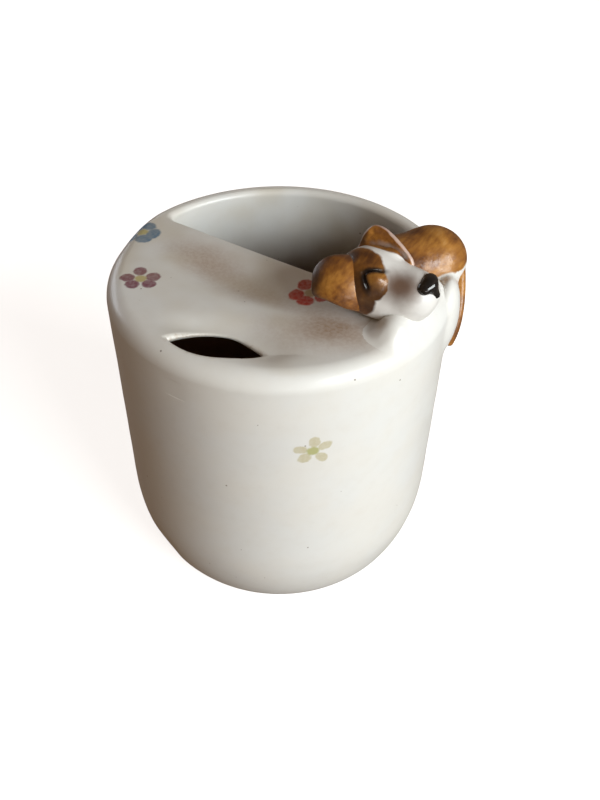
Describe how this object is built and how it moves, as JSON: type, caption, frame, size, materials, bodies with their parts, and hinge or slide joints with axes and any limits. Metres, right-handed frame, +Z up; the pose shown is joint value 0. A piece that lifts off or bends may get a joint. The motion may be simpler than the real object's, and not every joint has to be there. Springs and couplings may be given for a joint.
{
  "type": "ceramic animal bank cup",
  "caption": "Hand-thrown glazed cup with a half-moon cover and a lens-shaped slot, open at the back of the mouth, and a modelled sleeping dog lying over the rim.",
  "frame": {"origin": "centre of the flat base, on the surface the cup stands on", "axes": "+Z up the cup's axis, -Y towards the slot and the covered front of the mouth, +X towards the side with the dog"},
  "size_m": [0.0841, 0.084, 0.1045],
  "materials": {
    "cream_glaze": "satin-gloss cream-white glaze with iron specks and painted flowers",
    "brown_glaze": "glossy golden to dark brown iron wash, brushed and mottled",
    "patched_glaze": "glossy white with brushed brown patches round the eyes",
    "black_glaze": "glossy black"
  },
  "bodies": {
    "root": {"cup_body": "cream_glaze", "half_cover": "cream_glaze", "dog_body": "brown_glaze", "haunch": "cream_glaze", "foreleg": "cream_glaze", "dog_head": "patched_glaze", "dog_muzzle": "patched_glaze", "nose_pad": "black_glaze", "right_ear": "brown_glaze", "left_ear": "brown_glaze", "tail": "brown_glaze"}
  },
  "joints": []
}
